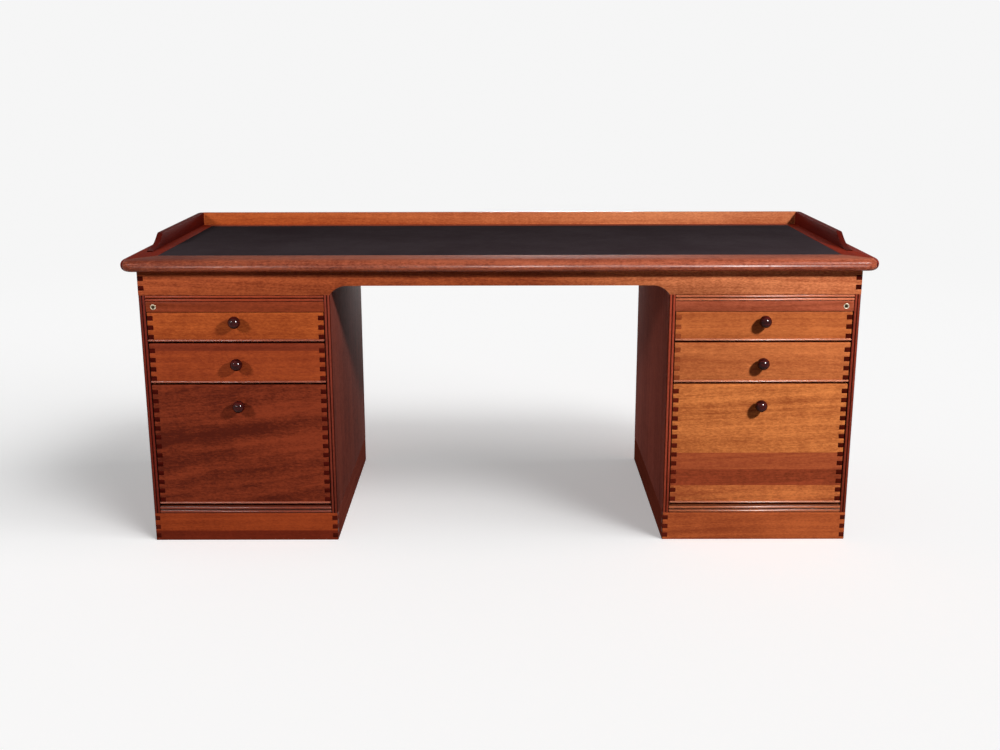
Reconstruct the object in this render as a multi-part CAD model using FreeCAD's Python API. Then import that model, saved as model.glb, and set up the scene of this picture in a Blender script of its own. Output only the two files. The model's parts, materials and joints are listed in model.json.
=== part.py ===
import FreeCAD, Part
import math
import os

# A pedestal desk in solid wood: a leather-lined top with a low gallery, on a shallow
# finger-jointed frieze and two three-drawer pedestals. Units are millimetres.
# The origin is on the floor under the middle of the top. The sitter faces +Y,
# so the drawer fronts face -Y, +X is the sitter's right and +Z is up.

V = FreeCAD.Vector
UP = V(0, 0, 1)
ALONG_X = V(1, 0, 0)
ALONG_Y = V(0, 1, 0)

# Top: four mitred rails round a tongued panel, with leather let in flush.
desk_length = 1866.0
desk_depth = 745.0
top_thickness = 31.0
top_corner_radius = 32.0
nose_flat = 0.6
rail_width = 78.0
panel_thickness = 22.0
tongue_length = 8.0
tongue_thickness = 8.0
leather_thickness = 1.5
leather_recess = 0.3
overhang = 35.5

# Gallery: three upright boards that stand on the rails, the side ones swept down in front.
gallery_height = 36.0
gallery_thickness = 15.0
gallery_inset = 34.0
gallery_outer_radius = 20.0
gallery_inner_radius = 5.0
gallery_setback = 143.0
gallery_sweep = 111.0
gallery_shoulder_radius = 22.0
gallery_toe = 2.5
gallery_edge_radius = 2.2

# Frieze: four finger-jointed apron boards, arched over the kneehole, with cross bearers.
apron_height = 62.0
apron_thickness = 15.0
apron_corner_radius = 1.5
arch_rise = 23.0
arch_radius = 50.0
bearer_width = 28.0
bearer_lift = 4.0

# Pedestals.
pedestal_width = 475.5
side_thickness = 16.0
back_thickness = 12.0
back_rebate = 8.0
top_board_thickness = 17.0
bottom_board_thickness = 20.0
lock_rail_height = 26.0
lock_rail_thickness = 18.0
lock_rail_setback = 2.0
plinth_height = 73.0
plinth_thickness = 14.0
plinth_corner_radius = 3.0
reed_count = 2
reed_depth = 2.8

# Drawers, from the lowest one up.
finger_width = 12.0
deep_drawer_height = 312.0
middle_drawer_height = 96.0
upper_drawer_height = 68.0
deep_knob_drop = 52.0
middle_knob_drop = 50.0
upper_knob_drop = 21.5
front_thickness = 18.0
drawer_side_thickness = 14.0
drawer_back_thickness = 12.0
drawer_bottom_thickness = 5.5
drawer_setback = 2.0
bead_projection = 2.6
drawer_side_gap = 1.5
drawer_top_gap = 1.5
drawer_shadow_gap = 5.7
drawer_foot_gap = 6.6

# Side-hung runners in stopped grooves.
groove_depth = 8.0
groove_height = 14.0
runner_clearance = 0.3
runner_end_gap = 0.5

# Knobs: a turned ball on a neck, with a tenon through the drawer front.
knob_radius = 15.5
knob_projection = 35.0
knob_collar_radius = 8.5
knob_collar_thickness = 2.2
knob_neck_radius = 6.0
knob_tenon_radius = 5.0

# Pedestal lock: a plug in the lock rail turns a rod, and a crank on the rod lifts a bar
# behind the drawers, whose pins rise into a strike block on each drawer's back.
lock_inset = 34.5
lock_ring_radius = 7.0
lock_ring_proud = 1.0
sleeve_radius = 6.0
plug_radius = 4.5
running_clearance = 0.05
key_slot_width = 1.6
key_slot_height = 6.0
key_slot_depth = 4.0
rod_radius = 2.5
crank_disc_radius = 9.0
crank_disc_thickness = 4.0
crank_throw = 6.0
crank_pin_radius = 2.0
crank_rest_angle = 45.0
slot_clearance = 0.4
bar_width = 20.0
bar_edge = 4.5
bar_thickness = 3.0
bar_back_gap = 3.0
catch_pin_radius = 3.0
catch_pin_height = 8.5
catch_pin_gap = 1.2
catch_hole_clearance = 1.0
strike_width = 24.0
strike_depth = 20.0
strike_height = 12.0
strike_drop = 8.0
strike_bar_gap = 4.0
guide_width = 34.0
guide_height = 12.0
guide_strap = 3.0
guide_clearance = 0.3
bearing_width = 20.0
bearing_thickness = 8.0
axial_gap = 1.0

# Places worked out from the sizes above.
half_length = desk_length / 2
half_depth = desk_depth / 2
body_x = half_length - overhang
front_y = -half_depth + overhang
rear_y = half_depth - overhang
knee_x = body_x - pedestal_width
bay_x0 = knee_x + side_thickness
bay_x1 = body_x - side_thickness
drawer_x0 = bay_x0 + drawer_side_gap
drawer_x1 = bay_x1 - drawer_side_gap
drawer_y = front_y + drawer_setback
back_panel_y = rear_y - back_thickness

drawers = (
    ("deep_drawer", deep_drawer_height, deep_knob_drop),
    ("middle_drawer", middle_drawer_height, middle_knob_drop),
    ("upper_drawer", upper_drawer_height, upper_knob_drop),
)


def drawer_levels():
    """Underside level of each drawer's front, and the level where the lock rail starts."""
    levels = []
    bead = plinth_height + bottom_board_thickness + drawer_foot_gap
    for _name, height, _drop in drawers:
        levels.append(bead + drawer_bottom_thickness)
        bead = levels[-1] + height + drawer_shadow_gap
    return levels, bead - drawer_shadow_gap + drawer_top_gap


drawer_z, lock_rail_z = drawer_levels()
top_board_z = lock_rail_z + lock_rail_height
apron_z = top_board_z + top_board_thickness
top_z = apron_z + apron_height
desktop_z = top_z + top_thickness
panel_z1 = desktop_z - leather_recess - leather_thickness
panel_z0 = panel_z1 - panel_thickness

lock_x = body_x - lock_inset
lock_z = lock_rail_z + lock_rail_height / 2
bar_y1 = back_panel_y - bar_back_gap
bar_y0 = bar_y1 - bar_thickness
drawer_end_y = bar_y0 - strike_bar_gap - strike_depth
strike_x = lock_x + bar_edge - bar_width / 2
strike_y = drawer_end_y + strike_depth / 2


def box(x0, x1, y0, y1, z0, z1):
    """A squared board between two corners."""
    return Part.makeBox(x1 - x0, y1 - y0, z1 - z0, V(x0, y0, z0))


def slab(points, z0, z1):
    """An upright prism on a plan outline of (x, y) points."""
    corners = [V(x, y, z0) for x, y in points]
    outline = Part.makePolygon(corners + corners[:1])
    return Part.Face(outline).extrude(UP * (z1 - z0))


def line(start, end):
    return Part.makeLine(start, end)


def arc(start, middle, end):
    return Part.Arc(start, middle, end).toShape()


def rod(radius, x, z, y0, y1):
    """A round bar along Y."""
    return Part.makeCylinder(radius, y1 - y0, V(x, y0, z), ALONG_Y)


def round_upright_edges(shape, radius):
    """Rounds the upright corners of a squared shape."""
    upright = [e for e in shape.Edges if abs(e.tangentAt(e.FirstParameter).z) > 0.99]
    return shape.makeFillet(radius, upright)


def mirrored(shape):
    """The same piece for the left-hand pedestal."""
    return shape.mirror(V(0, 0, 0), ALONG_X)


# Finger joints


def even_bands(z0, z1):
    """Finger bands counted up from the bottom edge, the last one taking what is left."""
    count = max(2, int((z1 - z0) / finger_width + 0.5))
    edges = [z0 + k * finger_width for k in range(count)] + [z1]
    return list(zip(edges[:-1], edges[1:]))


def centred_bands(z0, z1):
    """Finger bands centred on the board, with an equal short finger at each edge."""
    full = int((z1 - z0) / finger_width)
    full -= 1 - full % 2
    full = max(1, full)
    start = (z0 + z1 - full * finger_width) / 2
    edges = [z0] + [start + k * finger_width for k in range(full + 1)] + [z1]
    return list(zip(edges[:-1], edges[1:]))


def fingers(x0, x1, y0, y1, bands):
    """One board's fingers in a corner, as a group of blocks."""
    return Part.makeCompound([box(x0, x1, y0, y1, z0, z1) for z0, z1 in bands])


def jointed_frame(x0, x1, y0, y1, bands, sizes, sides_first):
    """Four boards finger-jointed at their corners: front, back, left and right.

    sizes are the thicknesses of front, back and sides, and sides_first gives the
    lowest finger to the side boards.
    """
    front_t, back_t, side_t = sizes
    z0, z1 = bands[0][0], bands[-1][1]
    side_bands = bands[0::2] if sides_first else bands[1::2]
    front_bands = bands[1::2] if sides_first else bands[0::2]
    front = box(x0, x1, y0, y0 + front_t, z0, z1)
    back = box(x0, x1, y1 - back_t, y1, z0, z1)
    left = box(x0, x0 + side_t, y0, y1, z0, z1)
    right = box(x1 - side_t, x1, y0, y1, z0, z1)
    for xa, xb in ((x0, x0 + side_t), (x1 - side_t, x1)):
        front = front.cut(fingers(xa, xb, y0, y0 + front_t, side_bands))
        back = back.cut(fingers(xa, xb, y1 - back_t, y1, side_bands))
    for ya, yb in ((y0, y0 + front_t), (y1 - back_t, y1)):
        left = left.cut(fingers(x0, x0 + side_t, ya, yb, front_bands))
        right = right.cut(fingers(x1 - side_t, x1, ya, yb, front_bands))
    return front, back, left, right


# Top


def rim_slab():
    """The whole top with its rounded plan corners and bull nose."""
    plan = round_upright_edges(
        box(-half_length, half_length, -half_depth, half_depth, top_z, desktop_z),
        top_corner_radius)
    rim = [e for e in plan.Edges if abs(e.tangentAt(e.FirstParameter).z) < 0.01]
    return plan.makeFillet((top_thickness - nose_flat) / 2, rim)


def top_rails():
    """Front, back, left and right rails, mitred at the corners and grooved for the panel."""
    in_x, in_y = half_length - rail_width, half_depth - rail_width
    tongue_z0, tongue_z1 = tongue_levels()
    ring = rim_slab().cut(box(-in_x, in_x, -in_y, in_y, top_z, desktop_z))
    ring = ring.cut(box(-in_x - tongue_length, in_x + tongue_length,
                        -in_y - tongue_length, in_y + tongue_length, tongue_z0, tongue_z1))
    outer = {-1: (-half_length - rail_width, -half_depth - rail_width),
             1: (half_length + rail_width, half_depth + rail_width)}
    rails = []
    for sign in (-1, 1):
        far = outer[sign][1]
        plan = [(outer[-1][0], far), (outer[1][0], far), (in_x, sign * in_y), (-in_x, sign * in_y)]
        rails.append(ring.common(slab(plan, top_z, desktop_z)))
    for sign in (-1, 1):
        far = outer[sign][0]
        plan = [(far, outer[-1][1]), (far, outer[1][1]), (sign * in_x, in_y), (sign * in_x, -in_y)]
        rails.append(ring.common(slab(plan, top_z, desktop_z)))
    return rails


def tongue_levels():
    middle = (panel_z0 + panel_z1) / 2
    return middle - tongue_thickness / 2, middle + tongue_thickness / 2


def top_panel():
    """The panel inside the rails, with a tongue all round."""
    in_x, in_y = half_length - rail_width, half_depth - rail_width
    tongue_z0, tongue_z1 = tongue_levels()
    core = box(-in_x, in_x, -in_y, in_y, panel_z0, panel_z1)
    tongue = box(-in_x - tongue_length, in_x + tongue_length,
                 -in_y - tongue_length, in_y + tongue_length, tongue_z0, tongue_z1)
    return core.fuse(tongue)


def writing_surface():
    """The leather, glued on the panel inside the rails."""
    in_x, in_y = half_length - rail_width, half_depth - rail_width
    return box(-in_x, in_x, -in_y, in_y, panel_z1, panel_z1 + leather_thickness)


# Gallery


def gallery_outline(x):
    """Elevation of a side board: an ogee up from its toe, then level to the back."""
    toe_y = -half_depth + gallery_setback
    shoulder_y = toe_y + gallery_sweep
    end_y = half_depth - gallery_inset
    toe_z = desktop_z + gallery_toe
    crest_z = desktop_z + gallery_height
    rise = crest_z - toe_z
    radii = (gallery_sweep ** 2 + rise ** 2) / (2 * rise)
    hollow_radius = radii - gallery_shoulder_radius
    turn = math.asin(gallery_sweep / radii)

    def hollow(angle):
        return V(x, toe_y + hollow_radius * math.sin(angle),
                 toe_z + hollow_radius * (1 - math.cos(angle)))

    def shoulder(angle):
        return V(x, shoulder_y - gallery_shoulder_radius * math.sin(angle),
                 crest_z - gallery_shoulder_radius * (1 - math.cos(angle)))

    foot = V(x, toe_y, desktop_z)
    heel = V(x, end_y, desktop_z)
    crest = V(x, end_y, crest_z)
    return [line(foot, hollow(0)),
            arc(hollow(0), hollow(turn / 2), hollow(turn)),
            arc(hollow(turn), shoulder(turn / 2), shoulder(0)),
            line(shoulder(0), crest), line(crest, heel), line(heel, foot)]


def upright_edges_at(shape, x, y):
    """The upright edges at plus and minus x on the plane y."""
    return [e for e in shape.Edges
            if abs(abs(e.CenterOfMass.x) - x) < 0.01 and abs(e.CenterOfMass.y - y) < 0.01
            and abs(e.tangentAt(e.FirstParameter).z) > 0.99]


def gallery():
    """The back board and the right-hand one, drawn as one rim and parted at their mitre."""
    x1 = half_length - gallery_inset
    y1 = half_depth - gallery_inset
    in_x, in_y = x1 - gallery_thickness, y1 - gallery_thickness
    crest_z = desktop_z + gallery_height
    plan = [(-x1, -half_depth), (-x1, y1), (x1, y1), (x1, -half_depth),
            (in_x, -half_depth), (in_x, in_y), (-in_x, in_y), (-in_x, -half_depth)]
    elevation = Part.Face(Part.Wire(gallery_outline(-x1))).extrude(ALONG_X * 2 * x1)
    rim = slab(plan, desktop_z, crest_z).common(elevation)
    rim = rim.makeFillet(gallery_outer_radius, upright_edges_at(rim, x1, y1))
    rim = rim.makeFillet(gallery_inner_radius, upright_edges_at(rim, in_x, in_y))
    along_boards = [e for e in rim.Edges
                    if e.CenterOfMass.z > desktop_z + gallery_toe
                    and abs(e.Length - gallery_thickness) > 0.01]
    rim = rim.makeFillet(gallery_edge_radius, along_boards)
    cove_x, cove_y = in_x - gallery_inner_radius, in_y - gallery_inner_radius
    back_plan = [(-x1, y1), (x1, y1), (cove_x, cove_y), (-cove_x, cove_y)]
    side_plan = [(cove_x, -half_depth), (x1, -half_depth), (x1, y1), (cove_x, cove_y)]
    return rim.common(slab(back_plan, desktop_z, crest_z)), rim.common(
        slab(side_plan, desktop_z, crest_z))


# Frieze


def arch_cut():
    """The kneehole arch: a level head with a cove down to each pedestal."""
    drop = arch_radius - arch_rise
    spread = math.sqrt(arch_radius ** 2 - drop ** 2)
    head_x = knee_x - spread
    centre_z = apron_z + arch_rise - arch_radius
    half_turn = math.asin(spread / arch_radius) / 2
    mid_x = head_x + arch_radius * math.sin(half_turn)
    mid_z = centre_z + arch_radius * math.cos(half_turn)
    head_z = apron_z + arch_rise

    def at(x, z):
        return V(x, front_y, z)

    outline = [arc(at(-knee_x, apron_z), at(-mid_x, mid_z), at(-head_x, head_z)),
               line(at(-head_x, head_z), at(head_x, head_z)),
               arc(at(head_x, head_z), at(mid_x, mid_z), at(knee_x, apron_z)),
               line(at(knee_x, apron_z), at(-knee_x, apron_z))]
    return Part.Face(Part.Wire(outline)).extrude(ALONG_Y * (rear_y - front_y))


def aprons():
    """Front, back, left and right apron boards."""
    sizes = (apron_thickness, apron_thickness, apron_thickness)
    bands = even_bands(apron_z, top_z)
    boards = jointed_frame(-body_x, body_x, front_y, rear_y, bands, sizes, False)
    envelope = round_upright_edges(box(-body_x, body_x, front_y, rear_y, apron_z, top_z),
                                   apron_corner_radius)
    arch = arch_cut()
    return [board.common(envelope).cut(arch) for board in boards]


def bearer(x0, z0):
    return box(x0, x0 + bearer_width, front_y + apron_thickness, rear_y - apron_thickness,
               z0, top_z)


def bearer_step(x0):
    """The part of a bearer that stands up to the panel between the rails."""
    in_y = half_depth - rail_width
    return box(x0, x0 + bearer_width, -in_y, in_y, top_z, panel_z0)


def bearers():
    """Cross bearers from apron to apron: two under the end rails, three under the panel."""
    end_x = min(body_x - apron_thickness, half_length - rail_width + bearer_width)
    under_panel = ((-knee_x - bearer_width, apron_z),
                   (-bearer_width / 2, apron_z + arch_rise + bearer_lift),
                   (knee_x, apron_z))
    solids = [bearer(-end_x, apron_z), bearer(end_x - bearer_width, apron_z)]
    solids += [bearer(x0, z0).fuse(bearer_step(x0)).removeSplitter() for x0, z0 in under_panel]
    return Part.makeCompound(solids)


# Pedestals, all drawn for the right-hand one


def reeded_section(low, high, back_y, place):
    """A board's section with reeds along its front edge; place maps (across, y) to a point."""
    valley = front_y + reed_depth
    width = (high - low) / reed_count
    edges = []
    for k in range(reed_count):
        a = low + k * width
        edges.append(arc(place(a, valley), place(a + width / 2, front_y), place(a + width, valley)))
    corners = [place(high, valley), place(high, back_y), place(low, back_y), place(low, valley)]
    edges += [line(start, end) for start, end in zip(corners[:-1], corners[1:])]
    return Part.Face(Part.Wire(edges))


def side_panel(x0, rebate_x0):
    """A side panel with a reeded front edge and a rebate for the back panel."""
    section = reeded_section(x0, x0 + side_thickness, rear_y, lambda a, y: V(a, y, plinth_height))
    panel = section.extrude(UP * (apron_z - plinth_height))
    return panel.cut(box(rebate_x0, rebate_x0 + back_rebate, back_panel_y, rear_y,
                         plinth_height, apron_z))


def reeded_shelf(z0, z1):
    """The top or bottom board between the side panels."""
    section = reeded_section(z0, z1, back_panel_y, lambda a, y: V(bay_x0, y, a))
    return section.extrude(ALONG_X * (bay_x1 - bay_x0))


def back_panel():
    return box(bay_x0 - back_rebate, bay_x1 + back_rebate, back_panel_y, rear_y,
               plinth_height, apron_z)


def lock_rail():
    """The rail above the drawers, bored for the lock's sleeve."""
    y0 = front_y + lock_rail_setback
    rail = box(bay_x0, bay_x1, y0, y0 + lock_rail_thickness, lock_rail_z, top_board_z)
    return rail.cut(rod(sleeve_radius, lock_x, lock_z, y0, y0 + lock_rail_thickness))


def plinth():
    """Four finger-jointed boards on the floor, their corners rounded."""
    sizes = (plinth_thickness, plinth_thickness, plinth_thickness)
    bands = centred_bands(0.0, plinth_height)
    boards = jointed_frame(knee_x, body_x, front_y, rear_y, bands, sizes, False)
    envelope = round_upright_edges(box(knee_x, body_x, front_y, rear_y, 0.0, plinth_height),
                                   plinth_corner_radius)
    return Part.makeCompound([board.common(envelope) for board in boards])


def groove_levels(z0, height):
    middle = z0 + height / 2
    return middle - groove_height / 2, middle + groove_height / 2


def runners():
    """A pair of wooden runners for each drawer, fixed to the side panels."""
    reach = drawer_side_gap + groove_depth - runner_end_gap
    y0 = drawer_y + front_thickness + runner_end_gap
    solids = []
    for (_name, height, _drop), z in zip(drawers, drawer_z):
        low, high = groove_levels(z, height)
        low, high = low + runner_clearance, high - runner_clearance
        solids.append(box(bay_x0, bay_x0 + reach, y0, back_panel_y, low, high))
        solids.append(box(bay_x1 - reach, bay_x1, y0, back_panel_y, low, high))
    return Part.makeCompound(solids)


# Drawers


def drawer_boards(z0, height):
    """Front, back and sides of one drawer, with the runner grooves cut."""
    sizes = (front_thickness, drawer_back_thickness, drawer_side_thickness)
    bands = even_bands(z0, z0 + height)
    front, back, left, right = jointed_frame(
        drawer_x0, drawer_x1, drawer_y, drawer_end_y, bands, sizes, True)
    low, high = groove_levels(z0, height)
    groove_y = drawer_y + front_thickness
    grooves = Part.makeCompound([
        box(drawer_x0, drawer_x0 + groove_depth, groove_y, drawer_end_y, low, high),
        box(drawer_x1 - groove_depth, drawer_x1, groove_y, drawer_end_y, low, high)])
    return front, back.cut(grooves), left.cut(grooves), right.cut(grooves)


def strike_block(z0, height):
    """The block on a drawer's back that the lock bar's pin rises into."""
    z1 = z0 + height - strike_drop
    block = box(strike_x - strike_width / 2, strike_x + strike_width / 2,
                drawer_end_y, drawer_end_y + strike_depth, z1 - strike_height, z1)
    hole = Part.makeCylinder(catch_pin_radius + catch_hole_clearance, strike_height,
                             V(strike_x, strike_y, z1 - strike_height))
    return block.cut(hole)


def drawer_bottom(z0):
    """The board under a drawer, its front edge a rounded bead."""
    radius = drawer_bottom_thickness / 2
    low, high = z0 - drawer_bottom_thickness, z0
    nose_y = drawer_y - bead_projection

    def at(y, z):
        return V(drawer_x0, y, z)

    edges = [arc(at(nose_y + radius, low), at(nose_y, low + radius), at(nose_y + radius, high)),
             line(at(nose_y + radius, high), at(drawer_end_y, high)),
             line(at(drawer_end_y, high), at(drawer_end_y, low)),
             line(at(drawer_end_y, low), at(nose_y + radius, low))]
    return Part.Face(Part.Wire(edges)).extrude(ALONG_X * (drawer_x1 - drawer_x0))


def knob(z):
    """A turned ball knob; its half section is spun about the axis through the front."""
    x = (drawer_x0 + drawer_x1) / 2
    centre = drawer_y - knob_projection + knob_radius
    neck_y = centre + math.sqrt(knob_radius ** 2 - knob_neck_radius ** 2)
    collar_y = drawer_y - knob_collar_thickness

    def at(radius, y):
        return V(x + radius, y, z)

    tip = at(0, drawer_y - knob_projection)
    edges = [arc(tip, at(knob_radius, centre), at(knob_neck_radius, neck_y)),
             line(at(knob_neck_radius, neck_y), at(knob_neck_radius, collar_y)),
             line(at(knob_neck_radius, collar_y), at(knob_collar_radius, collar_y)),
             line(at(knob_collar_radius, collar_y), at(knob_collar_radius, drawer_y)),
             line(at(knob_collar_radius, drawer_y), at(knob_tenon_radius, drawer_y)),
             line(at(knob_tenon_radius, drawer_y),
                  at(knob_tenon_radius, drawer_y + front_thickness)),
             line(at(knob_tenon_radius, drawer_y + front_thickness),
                  at(0, drawer_y + front_thickness)),
             line(at(0, drawer_y + front_thickness), tip)]
    return Part.Face(Part.Wire(edges)).revolve(V(x, 0, z), ALONG_Y, 360)


def drawer(z0, height, knob_drop):
    """The four nodes of one drawer."""
    knob_z = z0 + height - knob_drop
    front, back, left, right = drawer_boards(z0, height)
    front = front.cut(rod(knob_tenon_radius, (drawer_x0 + drawer_x1) / 2, knob_z,
                          drawer_y, drawer_y + front_thickness))
    return {"front": front,
            "box": Part.makeCompound([left, right, back, strike_block(z0, height)]),
            "bottom": drawer_bottom(z0),
            "knob": knob(knob_z)}


# Lock


def crank_pin_place():
    """Where the crank pin stands with the lock open, below and inboard of the rod."""
    angle = math.radians(crank_rest_angle)
    return lock_x - crank_throw * math.cos(angle), lock_z - crank_throw * math.sin(angle)


def lock_lift():
    """How far the bar rises when the plug turns from open to locked."""
    return 2 * crank_throw * math.sin(math.radians(crank_rest_angle))


def lock_plug():
    """The plug with its key slot, the rod behind it, and the crank on the rod's end."""
    y0 = front_y + lock_rail_setback - lock_ring_proud
    y1 = front_y + lock_rail_setback + lock_rail_thickness
    disc_y1 = bar_y0 - axial_gap
    disc_y0 = disc_y1 - crank_disc_thickness
    pin_x, pin_z = crank_pin_place()
    plug = rod(plug_radius, lock_x, lock_z, y0, y1)
    plug = plug.cut(box(lock_x - key_slot_width / 2, lock_x + key_slot_width / 2,
                        y0, y0 + key_slot_depth,
                        lock_z - key_slot_height / 2, lock_z + key_slot_height / 2))
    return plug.fuse([rod(rod_radius, lock_x, lock_z, y1, disc_y0),
                      rod(crank_disc_radius, lock_x, lock_z, disc_y0, disc_y1),
                      rod(crank_pin_radius, pin_x, pin_z, disc_y1, bar_y1)])


def catch_levels(z0, height):
    """Top of the tab and tip of the pin below one drawer's strike block, lock open."""
    pin_top = z0 + height - strike_drop - strike_height - catch_pin_gap
    return pin_top - catch_pin_height, pin_top


def lock_bar():
    """The bar behind the drawers, with a slotted head and one tab and pin per drawer."""
    x0 = lock_x + bar_edge - bar_width
    x1 = lock_x + bar_edge
    pin_x, pin_z = crank_pin_place()
    room = crank_pin_radius + slot_clearance
    tab_y0 = strike_y - catch_pin_radius - bar_thickness
    levels = [catch_levels(z, height) for (_name, height, _drop), z in zip(drawers, drawer_z)]
    foot_z = levels[0][0] - 2 * bar_thickness
    head_z = pin_z + room + bar_thickness
    pieces = []
    for tab_z, pin_top in levels:
        pieces.append(box(x0, x1, tab_y0, bar_y0, tab_z - bar_thickness, tab_z))
        pieces.append(Part.makeCylinder(catch_pin_radius, pin_top - tab_z,
                                        V(strike_x, strike_y, tab_z)))
    bar = box(x0, x1, bar_y0, bar_y1, foot_z, head_z).fuse(pieces)
    return bar.cut(box(lock_x - crank_throw - room, pin_x + room, bar_y0, bar_y1,
                       pin_z - room, pin_z + room))


def bar_guides():
    """Two staples on the back panel that the bar slides in, midway between its tabs."""
    tabs = [catch_levels(z, height)[0] for (_name, height, _drop), z in zip(drawers, drawer_z)]
    staples = []
    for below, above in zip(tabs[:-1], tabs[1:]):
        z0 = (below + above + lock_lift() - guide_height) / 2
        staple = box(strike_x - guide_width / 2, strike_x + guide_width / 2,
                     bar_y0 - guide_clearance - guide_strap, back_panel_y, z0, z0 + guide_height)
        half_way = bar_width / 2 + guide_clearance
        staples.append(staple.cut(box(strike_x - half_way, strike_x + half_way,
                                      bar_y0 - guide_clearance, back_panel_y,
                                      z0, z0 + guide_height)))
    return staples


def lock_fittings():
    """The fixed metal of a lock: front sleeve, rear bearing and bar guides."""
    face_y = front_y + lock_rail_setback
    bore = plug_radius + running_clearance
    sleeve = rod(sleeve_radius, lock_x, lock_z, face_y, face_y + lock_rail_thickness)
    ring = rod(lock_ring_radius, lock_x, lock_z, face_y - lock_ring_proud, face_y)
    sleeve = sleeve.fuse(ring).cut(rod(bore, lock_x, lock_z, face_y - lock_ring_proud,
                                       face_y + lock_rail_thickness))
    bearing_y1 = bar_y0 - 2 * axial_gap - crank_disc_thickness
    bearing_y0 = bearing_y1 - bearing_thickness
    bearing = box(lock_x - bearing_width / 2, lock_x + bearing_width / 2, bearing_y0, bearing_y1,
                  lock_z - crank_disc_radius, top_board_z)
    bearing = bearing.cut(rod(rod_radius + running_clearance, lock_x, lock_z,
                              bearing_y0, bearing_y1))
    return Part.makeCompound([sleeve, bearing] + bar_guides())


# Assembly


def top_nodes():
    rails = top_rails()
    boards = aprons()
    gallery_rear, gallery_side = gallery()
    names = ("front", "back", "left", "right")
    nodes = {"top_rail_" + name: rail for name, rail in zip(names, rails)}
    nodes.update({"apron_" + name: board for name, board in zip(names, boards)})
    nodes.update({"top_panel": top_panel(), "writing_surface": writing_surface(),
                  "gallery_back": gallery_rear,
                  "gallery_left": mirrored(gallery_side), "gallery_right": gallery_side,
                  "top_bearers": bearers()})
    return nodes


def pedestal_nodes():
    """Every node of the right-hand pedestal, by its name without the side."""
    nodes = {"side_outer": side_panel(bay_x1, bay_x1),
             "side_inner": side_panel(knee_x, bay_x0 - back_rebate),
             "back_panel": back_panel(),
             "top_board": reeded_shelf(top_board_z, apron_z),
             "bottom_board": reeded_shelf(plinth_height, plinth_height + bottom_board_thickness),
             "lock_rail": lock_rail(),
             "plinth": plinth(),
             "runners": runners(),
             "lock_fittings": lock_fittings(),
             "lock_plug": lock_plug(),
             "lock_bar": lock_bar()}
    for (name, height, knob_drop), z0 in zip(drawers, drawer_z):
        for piece, shape in drawer(z0, height, knob_drop).items():
            nodes[name + "_" + piece] = shape
    return nodes


def all_nodes():
    nodes = top_nodes()
    for name, shape in pedestal_nodes().items():
        nodes["right_" + name] = shape
        nodes["left_" + name] = mirrored(shape)
    return nodes


os.makedirs("parts", exist_ok=True)
for node_name, node_shape in all_nodes().items():
    node_shape.exportStep("parts/" + node_name + ".step")
    print(node_name, len(node_shape.Solids), round(node_shape.Volume), node_shape.isValid())
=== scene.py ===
import json
import math

import bmesh
import bpy
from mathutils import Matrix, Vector

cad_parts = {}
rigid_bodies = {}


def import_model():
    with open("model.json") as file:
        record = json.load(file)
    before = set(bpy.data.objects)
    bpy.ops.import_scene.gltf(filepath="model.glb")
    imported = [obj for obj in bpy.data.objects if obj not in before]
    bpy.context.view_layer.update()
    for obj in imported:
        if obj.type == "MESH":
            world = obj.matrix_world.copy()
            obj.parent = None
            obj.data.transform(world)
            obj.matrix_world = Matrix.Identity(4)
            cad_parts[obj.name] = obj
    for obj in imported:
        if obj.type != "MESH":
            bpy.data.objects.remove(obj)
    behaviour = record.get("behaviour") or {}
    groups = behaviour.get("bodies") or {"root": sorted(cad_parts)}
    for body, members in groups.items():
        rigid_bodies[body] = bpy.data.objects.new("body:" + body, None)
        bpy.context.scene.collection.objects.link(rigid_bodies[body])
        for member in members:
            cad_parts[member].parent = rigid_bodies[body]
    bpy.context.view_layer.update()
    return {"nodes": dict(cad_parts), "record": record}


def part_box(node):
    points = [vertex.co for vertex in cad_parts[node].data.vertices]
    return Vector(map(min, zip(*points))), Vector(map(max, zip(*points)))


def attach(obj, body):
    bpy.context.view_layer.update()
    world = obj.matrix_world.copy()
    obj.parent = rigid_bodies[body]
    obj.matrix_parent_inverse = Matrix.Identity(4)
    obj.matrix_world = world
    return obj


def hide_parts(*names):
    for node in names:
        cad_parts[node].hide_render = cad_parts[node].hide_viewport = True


for leftover in list(bpy.data.objects):
    bpy.data.objects.remove(leftover)
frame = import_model()


# Top rails
# Four mahogany rails frame the writing surface. They are mitred at the corners, where the plan
# is rounded, and a full bull nose is run round their outer edge before they are waxed.

leather_low, leather_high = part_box("writing_surface")
top_low = Vector((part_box("top_rail_left")[0].x, *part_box("top_rail_front")[0].yz))
top_high = Vector((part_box("top_rail_right")[1].x, *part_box("top_rail_back")[1].yz))
plan_corner_radius = 0.032
plan_corner_segments = 12
nose_radius = 0.0152
nose_segments = 14
rail_arris = 0.0005
sharp_angle, smooth_angle = math.radians(40), math.radians(30)
hair = 0.00001


class Field:
    """A value that changes over a surface. Arithmetic on it adds Math nodes."""

    def __init__(self, finish, socket):
        self.finish = finish
        self.socket = socket

    def math(self, operation, first, second=0.0):
        return self.finish.node("ShaderNodeMath", {"operation": operation}, {0: first, 1: second})

    def __add__(self, other):
        return self.math("ADD", self, other)

    def __radd__(self, other):
        return self.math("ADD", other, self)

    def __sub__(self, other):
        return self.math("SUBTRACT", self, other)

    def __rsub__(self, other):
        return self.math("SUBTRACT", other, self)

    def __mul__(self, other):
        return self.math("MULTIPLY", self, other)

    def __rmul__(self, other):
        return self.math("MULTIPLY", other, self)

    def __gt__(self, other):
        return self.math("GREATER_THAN", self, other)

    def __abs__(self):
        return self.math("ABSOLUTE", self)


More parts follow.
